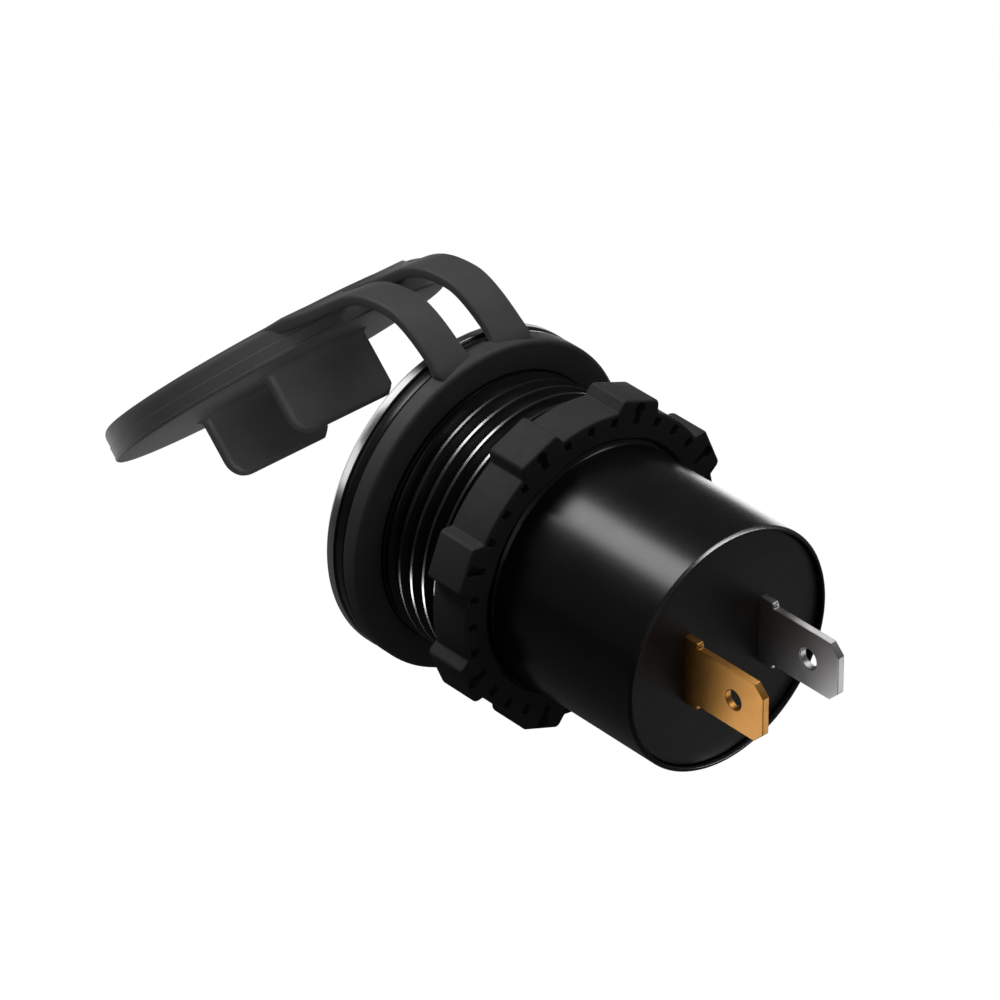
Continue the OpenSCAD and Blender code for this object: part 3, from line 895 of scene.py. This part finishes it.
class SOCKET_OT_rubber(bpy.types.Operator):
    """Makes the rubber moulding: the sealing ring, the two straps and the cover with its plugs"""

    bl_idname = "socket.rubber"
    bl_label = "Rubber moulding"

    def execute(self, context):
        sizes = context.scene.socket_rubber
        rubber = moulded_rubber(sizes.rubber)
        self.ring(rubber)
        self.straps(sizes, rubber)
        self.cover(sizes, rubber)
        return {"FINISHED"}

    def ring(self, rubber):
        """The flat sealing ring behind the flange, softest at its outer rear edge."""
        outer, back, bore = high("gasket_ring", 0), low("gasket_ring", 1), THREAD_RADIUS + 0.05
        corners = [(bore, back, 0.1), (outer, back, 0.2), (outer, 0, 0.5), (bore, 0, 0.15)]
        mesh = turn("sealing_ring", soft_profile(corners, 6), 224)
        piece = mesh_object("sealing_ring", mesh, rubber)
        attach(piece, "socket")
        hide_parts("gasket_ring")

    def straps(self, sizes, rubber):
        """Two straps, each a root that curves off the ring and an arm that curves down into the
        cover.
        """
        points = strap_curve(sizes)
        width, thick = sizes.strap_width / MM, sizes.strap_thickness / MM
        half_space = sizes.strap_space / MM / 2
        lengths = [0.0]
        for (a, _), (b, _) in zip(points, points[1:]):
            lengths.append(lengths[-1] + (b - a).length)
        split = next(i for i, s in enumerate(lengths) if s > 5.6)
        tail = len(STRAP_TAIL)
        # the straps meet where they enter the cover, and are at full width three points later
        rim, end = lengths[-tail - 1], lengths[-tail + 2]
        # the root is lofted up to the split, and the arm from there on into the cover
        for side, sign in (("left", -1), ("right", 1)):
            sections = []
            for (at, way), s in zip(points, lengths):
                # a fillet on the ring; the outer edge draws in where the ring falls away
                foot = min(1.0, max(0.0, 1 - (s - 1.7) / 2.6)) ** 2
                tuck = 1.2 * max(0.0, 1 - s / 2.3)
                # towards the cover both straps widen, meet, and run into its wall
                meet = min(1.0, max(0.0, 1 - (rim - s) / 7.0)) ** 2.5
                flow = min(1.0, max(0.0, 1 - (end - s) / 10.0)) ** 2.5
                near = sign * (half_space - 0.6 * foot - half_space * meet)
                far = sign * (half_space + width + 0.2 * foot + 4.7 * flow - tuck)
                deep = thick + 0.3 * foot + 0.4 * meet
                sections.append(strap_section(at, way, near, far, deep, 0.3 + 0.25 * flow))
            names = (f"strap_root_{side}", f"strap_arm_{side}")
            spans = (sections[: split + 1], sections[split:])
            root, arm = (mesh_object(n, loft(n, part), rubber, 50) for n, part in zip(names, spans))
            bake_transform(root)
            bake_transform(arm)
            for piece in (root, arm):
                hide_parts("cover_straps")

    def cover(self, sizes, rubber):
        """The round cover with fine ledges on its wall, and its two plugs."""
        radius, thick = sizes.cover_radius / MM, sizes.cover_thickness / MM
        corners = [
            (0.001, -thick, 0),
            (radius - 0.17, -thick, 1.8),
            (radius - 0.15, -1.66, 0.02),
            (radius - 0.07, -1.6, 0.05),
            (radius - 0.07, -0.53, 0.02),
            (radius, -0.48, 0.05),
            (radius, -0.26, 0.1),
            (radius - 0.14, -0.12, 0.06),
            (radius - 2.5, -0.04, 2.0),
            (radius - 5.0, 0, 2.0),
            (0.001, 0, 0),
        ]
        disc = turn("cover_disc", soft_profile(corners, 6, closed=False), 224, closed=False)
        offsets = [side * sizes.plug_pitch / MM / 2 for side in (-1, 1)]
        plugs = joined("cover_plugs", [self.plug(sizes, offset) for offset in offsets])
        # the turned disc has its axis along Y; the cover's plugs point along its own Z
        place = (
            Matrix.Translation((0, -sizes.cover_reach, sizes.cover_rise))
            @ Matrix.Rotation(-math.pi / 2 - sizes.cover_open, 4, "X")
            @ Matrix.Rotation(math.radians(90), 4, "X")
        )
        for name, mesh in (("dust_cover_moulding", disc), ("cover_plugs", plugs)):
            mesh.transform(place)
            piece = mesh_object(name, mesh, rubber, 50)
            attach(piece, "cover")
            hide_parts("dust_cover")

    def plug(self, sizes, offset):
        """A flat plug with one round and one cut corner, and a fillet where it leaves the cover."""
        half, thin = sizes.plug_width / MM / 2, sizes.plug_thickness / MM / 2
        length, corner, edge = sizes.plug_length / MM, 2.2, 0.5
        # each section: place along the plug, left and right half widths, half thickness
        sections = []
        for n, flare in [(-0.3, 0.45), (0.0, 0.4), (0.12, 0.22), (0.28, 0.09), (0.5, 0.0)]:
            sections.append((n, half + flare, half + flare, thin + flare))
        plain = length - corner
        for k in range(1, 5):
            sections.append((edge + (plain - edge) * k / 4, half, half, thin))
        for k in range(1, 13):
            a = math.radians(90 * k / 12)
            n = plain + corner * math.sin(a)
            round_side = half - corner * (1 - math.cos(a))
            cut_side = half - 0.9 * max(0.0, n - (length - 0.9))
            soft = max(0.0, n - (length - edge))
            t = thin - edge * (1 - math.sqrt(max(0, 1 - (soft / edge) ** 2)))
            sections.append((n, cut_side, round_side, t))
        rings = []
        for n, left, right, t in sections:
            outline = rectangle((right - left) / 2, 0, right + left, 2 * t, min(0.55, t * 0.9), 6)
            rings.append([(x, n, offset + z) for x, z in outline])
        return loft("plug", rings)


class SOCKET_OT_rear(bpy.types.Operator):
    """Makes the end cap and the two push-on tabs"""

    bl_idname = "socket.rear"
    bl_label = "End cap and tabs"

    def execute(self, context):
        sizes = context.scene.socket_rear
        self.cap()
        # stamped from rolled strip: fine lines across the tab and a warm, slightly dull shine
        brass = bright_metal("rolled_brass_strip", sizes.brass, 0.44, 0.08, (1, 1, 0.05), 0.25)
        tin = bright_metal("tin_plated_brass_strip", sizes.tin, 0.4, 0.08, (1, 1, 0.06), 0.25)
        self.tab(sizes, "positive_terminal", "positive_tab", brass, "brass_tab")
        self.tab(sizes, "negative_terminal", "negative_tab", tin, "tinned_tab")
        return {"FINISHED"}

    def cap(self):
        """The plain closing disc."""
        outer, face, seat = high("end_cap", 0), high("end_cap", 1), low("end_cap", 1)
        corners = [(0.001, seat, 0), (outer, seat, 0.1), (outer, face, 0.18), (0.001, face, 0)]
        disc = turn("end_disc", soft_profile(corners, 4, closed=False), 192, closed=False)
        plastic = matte_nylon("grained_moulded_abs", linear("#282828"), 0.42)
        piece = mesh_object("end_disc", disc, plastic, 35)
        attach(piece, "socket")
        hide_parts("end_cap")

    def tab(self, sizes, node, name, metal, slot):
        """A push-on tab: anchor in the cap, shouldered root, blade with cut corners and a hole."""
        (first, *_), (second, far, _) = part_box(node)
        middle, thick, tip = (first + second) / 2, (second - first) / MM, far / MM
        seat, shoulder = low("end_cap", 1), high("end_cap", 1) + sizes.root_length / MM
        half, root = sizes.tab_width / MM / 2, sizes.root_width / MM / 2
        cut_corner = 1.15
        side = [
            (seat - 4, half / 2, 0.1),
            (seat, half / 2, 0.1),
            (seat, root, 0.1),
            (shoulder, root, 0.3),
            (shoulder, half, 0.1),
            (tip - cut_corner, half, 0.25),
            (tip, half - cut_corner, 0.2),
        ]
        corners = [(y, -z, soft) for y, z, soft in side] + side[::-1]
        hole = circle(tip - 3.9, 0, sizes.hole_radius / MM, 60)
        place = Matrix.Translation((middle, 0, 0)) @ EDGEWISE
        mesh = plate(name, [soft_profile(corners, 4), hole], thick, 0.1, place)
        piece = mesh_object(name, mesh, metal, 10)
        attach(piece, "socket")
        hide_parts(node)


# ---------------------------------------------------------------- stage

# Azimuth, elevation and roll in degrees, place in millimetres, and focal length in millimetres
CAMERA_ANGLES = (138.16, 33.82, 0.51)
CAMERA_PLACE = (348.7, 390.5, 351.4)
CAMERA_LENS = 239.3

# What the lamps face, in millimetres
CENTRE, ALL_TABS, TAB_ENDS, CAP_FACE = (0, 0, 0), (0, 37, 0), (0, 42, 0), (0, 32, 0)
STRAPS_AT, COVER_AT, COVER_LOW, COVER_TIP = (0, -10, 15), (0, -30, 0), (0, -20, 0), (17, -35, -4)

BEZEL, RIM, THREAD, CAP = ["chromed_bezel"], ["barrel_rim"], ["barrel_thread"], ["end_disc"]
TABS, COVER, PLUGS = ["positive_tab", "negative_tab"], ["dust_cover_moulding"], ["cover_plugs"]
STRAPS = ["strap_root_left", "strap_root_right", "strap_arm_left", "strap_arm_right"]

# Each lamp: name, direction it stands in, distance, sides across and along the socket in
# metres, radiance, and what it faces
LAMPS = (
    ("top_softbox", (-0.55, 0.1, 0.83), 0.9, 0.5, 0.5, 2.6, CENTRE),
    ("rear_fill", (0.45, 0.8, 0.3), 1.2, 0.7, 0.7, 0.35, CENTRE),
    ("edge_card", (-0.74, -0.62, -0.28), 0.17, 0.07, 0.1, 2.5, CENTRE),
    ("barrel_strip", (0.175, -0.56, 0.795), 0.6, 0.22, 0.36, 7.0, CENTRE),
)

# Cards that light only the pieces named first
CARDS = (
    (BEZEL, ("bezel_card", (0.74, -0.62, 0.28), 0.3, 0.12, 0.12, 1.0, CENTRE)),
    (BEZEL, ("bezel_top_card", (0.2, -0.62, 0.76), 0.5, 0.2, 0.2, 1.3, CENTRE)),
    (BEZEL, ("bezel_edge_card", (-0.74, -0.62, -0.28), 0.3, 0.3, 0.3, 0.6, CENTRE)),
    (BEZEL, ("bezel_front_card", (0, -1, 0.1), 0.5, 0.7, 0.7, 0.75, CENTRE)),
    (RIM, ("rim_card", (-0.55, 0.52, 0.65), 0.6, 0.6, 0.2, 24.0, CENTRE)),
    (THREAD, ("crest_card", (0.08, -0.5, 0.86), 0.3, 0.1, 0.16, 30.0, CENTRE)),
    (THREAD, ("low_crest_card", (0.53, -0.6, -0.6), 0.15, 0.04, 0.08, 25.0, CENTRE)),
    (TABS, ("tab_card", (0.554, -0.619, -0.557), 0.15, 0.26, 0.26, 1.25, ALL_TABS)),
    (TABS, ("tab_top_card", (-0.554, -0.619, 0.557), 0.3, 0.1, 0.2, 2.4, ALL_TABS)),
    (TABS, ("tab_end_card", (-0.554, 0.619, -0.557), 0.15, 0.1, 0.1, 1.4, TAB_ENDS)),
    (CAP, ("cap_card", (-0.554, 0.619, -0.557), 0.2, 0.15, 0.15, 0.2, CAP_FACE)),
    (STRAPS, ("strap_low_card", (0.75, 0.1, -0.65), 0.3, 0.2, 0.2, 1.0, STRAPS_AT)),
    (STRAPS, ("strap_fill", (0.7, 0.3, 0.64), 0.45, 0.3, 0.3, 1.2, CENTRE)),
    (COVER, ("under_card", (-0.42, -0.58, -0.7), 0.14, 0.12, 0.12, 0.5, COVER_LOW)),
    (COVER, ("cover_card", (0.62, 0.77, 0.1), 0.45, 0.3, 0.3, 2.3, COVER_AT)),
    (PLUGS, ("plug_card", (0.62, 0.77, 0.1), 0.45, 0.3, 0.3, 4.0, COVER_AT)),
    (PLUGS, ("plug_top_card", (0.1, 0.7, 0.7), 0.45, 0.3, 0.3, 2.6, COVER_AT)),
    (COVER, ("tip_card", (0.05, -0.74, -0.67), 0.1, 0.08, 0.08, 2.0, COVER_TIP)),
    (COVER, ("cover_fill", (0.1, 0.7, 0.7), 0.45, 0.3, 0.3, 0.4, COVER_AT)),
)


class SOCKET_OT_stage(bpy.types.Operator):
    """Sets the camera, the floor, the lamps and the world"""

    bl_idname = "socket.stage"
    bl_label = "Stage"

    def execute(self, context):
        scene = context.scene
        scene.view_settings.view_transform = "Standard"
        self.camera(scene)
        self.floor()
        self.lamps()
        self.world(scene)
        return {"FINISHED"}

    def camera(self, scene):
        """The camera that the photograph's own perspective gives."""
        azimuth, elevation, roll = (math.radians(a) for a in CAMERA_ANGLES)
        back = Vector(
            (
                math.sin(azimuth) * math.cos(elevation),
                -math.cos(azimuth) * math.cos(elevation),
                math.sin(elevation),
            )
        )
        side = Vector((math.cos(azimuth), math.sin(azimuth), 0))
        up = back.cross(side)
        right = side * math.cos(roll) - up * math.sin(roll)
        up = side * math.sin(roll) + up * math.cos(roll)
        lens = bpy.data.cameras.new("studio_camera")
        lens.lens = CAMERA_LENS
        lens.sensor_width = 36
        lens.clip_start = 0.01
        lens.clip_end = 20
        camera = bpy.data.objects.new("studio_camera", lens)
        rotation = Matrix((right, up, back)).transposed().to_4x4()
        camera.matrix_world = Matrix.Translation(Vector(CAMERA_PLACE) * MM) @ rotation
        scene.collection.objects.link(camera)
        scene.camera = camera

    def floor(self):
        """A pale board well below the socket, white to the camera and through clear pieces."""
        half, low_z, count = 6.0, CAD_BOX[0][2] - 0.16, 8
        vertices, faces = [], []
        for i in range(count + 1):
            for j in range(count + 1):
                vertices.append((half * (2 * i / count - 1), half * (2 * j / count - 1), low_z))
        for i in range(count):
            for j in range(count):
                k = i * (count + 1) + j
                faces.append((k, k + count + 1, k + count + 2, k + 1))
        mesh = bpy.data.meshes.new("studio_floor")
        mesh.from_pydata(vertices, [], faces)
        material, tree = new_material("white_painted_board")
        light = add_node(tree, "ShaderNodeLightPath")
        matte = add_node(tree, "ShaderNodeBsdfDiffuse", {"Color": linear("#505050")})
        seen = self.strength(tree, light, 0.97, 0.02)
        glow = add_node(tree, "ShaderNodeEmission", {"Color": linear("#ffffff"), "Strength": seen})
        both = add_node(tree, "ShaderNodeAddShader", {0: matte.outputs[0], 1: glow.outputs[0]})
        add_node(tree, "ShaderNodeOutputMaterial", {"Surface": both.outputs[0]})
        mesh.materials.append(material)
        floor = bpy.data.objects.new("studio_floor", mesh)
        bpy.context.scene.collection.objects.link(floor)

    def strength(self, tree, light, seen, mirrored):
        """How bright a backdrop looks directly or through clear pieces, and in reflections."""
        kind, ray = "ShaderNodeMath", light.outputs
        rays = {0: ray["Is Camera Ray"], 1: ray["Is Transmission Ray"]}
        clear = add_node(tree, kind, rays, operation="MAXIMUM")
        direct = add_node(tree, kind, {0: clear.outputs[0], 1: seen}, operation="MULTIPLY")
        gloss = add_node(tree, kind, {0: ray["Is Glossy Ray"], 1: mirrored}, operation="MULTIPLY")
        both = {0: direct.outputs[0], 1: gloss.outputs[0]}
        return add_node(tree, kind, both, operation="MAXIMUM").outputs[0]

    def lamp(self, name, towards, distance, across, along, radiance, middle):
        """A soft box that faces a middle in millimetres, its height along the socket's axis."""
        back = Vector(towards).normalized()
        axis = Vector((0, 1, 0))
        side = axis.cross(back).normalized()
        light = bpy.data.lights.new(name, "AREA")
        light.shape = "RECTANGLE"
        light.size, light.size_y = across, along
        light.energy = radiance * math.pi * across * along
        lamp = bpy.data.objects.new(name, light)
        turned = Matrix((side, back.cross(side), back)).transposed().to_4x4()
        lamp.matrix_world = Matrix.Translation(Vector(middle) * MM + back * distance) @ turned
        bpy.context.scene.collection.objects.link(lamp)
        return lamp

    def only_for(self, lamp, *names, state="INCLUDE"):
        """Keeps a lamp's light to the pieces named, or off them, as black flags would."""
        group = bpy.data.collections.new(lamp.name)
        for name in names:
            group.objects.link(bpy.data.objects[name])
        for link in group.collection_objects:
            link.light_linking.link_state = state
        lamp.light_linking.receiver_collection = group

    def lamps(self):
        """Lamps for the whole socket first, then cards for single pieces."""
        for lamp in LAMPS:
            self.lamp(*lamp)
        for name in ("edge_card", "barrel_strip"):
            self.only_for(bpy.data.objects[name], "chromed_bezel", state="EXCLUDE")
        for pieces, card in CARDS:
            self.only_for(self.lamp(*card), *pieces)

    def world(self, scene):
        """White behind the socket, where the camera looks, and a dark room everywhere else."""
        world = bpy.data.worlds.new("studio_world")
        world.use_nodes = True
        tree = world.node_tree
        tree.nodes.clear()
        light = add_node(tree, "ShaderNodeLightPath")
        place = add_node(tree, "ShaderNodeTexCoord")
        behind = scene.camera.matrix_world.to_3x3() @ Vector((0, 0, -1))
        directions = {0: place.outputs["Generated"], 1: behind}
        facing = add_node(tree, "ShaderNodeVectorMath", directions, operation="DOT_PRODUCT")
        reach = {"From Min": 0.8, "From Max": 0.95, "To Min": 0.06, "To Max": 1.0}
        panel = add_node(tree, "ShaderNodeMapRange", {"Value": facing.outputs["Value"], **reach})
        seen = self.strength(tree, light, 1.0, panel.outputs["Result"])
        back = add_node(tree, "ShaderNodeMath", {0: seen, 1: 0.08}, operation="MAXIMUM")
        room = add_node(
            tree, "ShaderNodeBackground", {"Color": linear("#ffffff"), "Strength": back.outputs[0]}
        )
        add_node(tree, "ShaderNodeOutputWorld", {"Surface": room.outputs[0]})
        scene.world = world


# ---------------------------------------------------------------- add-on


OPERATORS = (
    SOCKET_OT_barrel,
    SOCKET_OT_face,
    SOCKET_OT_inside,
    SOCKET_OT_nut,
    SOCKET_OT_rubber,
    SOCKET_OT_rear,
    SOCKET_OT_stage,
)


class SOCKET_PT_build(bpy.types.Panel):
    """Lists the pieces of the socket and their sizes"""

    bl_idname = "SOCKET_PT_build"
    bl_label = "Charging socket"
    bl_space_type = "VIEW_3D"
    bl_region_type = "UI"
    bl_category = "Socket"

    def draw(self, context):
        for operator in OPERATORS:
            self.layout.operator(operator.bl_idname)
        for name, group in SIZE_GROUPS.items():
            box = self.layout.box()
            values = getattr(context.scene, name)
            for key in group.__annotations__:
                box.prop(values, key)


def register():
    for name, group in SIZE_GROUPS.items():
        bpy.utils.register_class(group)
        setattr(bpy.types.Scene, name, bpy.props.PointerProperty(type=group))
    for operator in OPERATORS:
        bpy.utils.register_class(operator)
    bpy.utils.register_class(SOCKET_PT_build)


def unregister():
    bpy.utils.unregister_class(SOCKET_PT_build)
    for operator in reversed(OPERATORS):
        bpy.utils.unregister_class(operator)
    for name, group in reversed(SIZE_GROUPS.items()):
        delattr(bpy.types.Scene, name)
        bpy.utils.unregister_class(group)


def main():
    register()
    bpy.ops.socket.barrel()
    bpy.ops.socket.face()
    bpy.ops.socket.inside()
    bpy.ops.socket.nut()
    bpy.ops.socket.rubber()
    bpy.ops.socket.rear()
    bpy.ops.socket.stage()


if __name__ == "__main__":
    main()
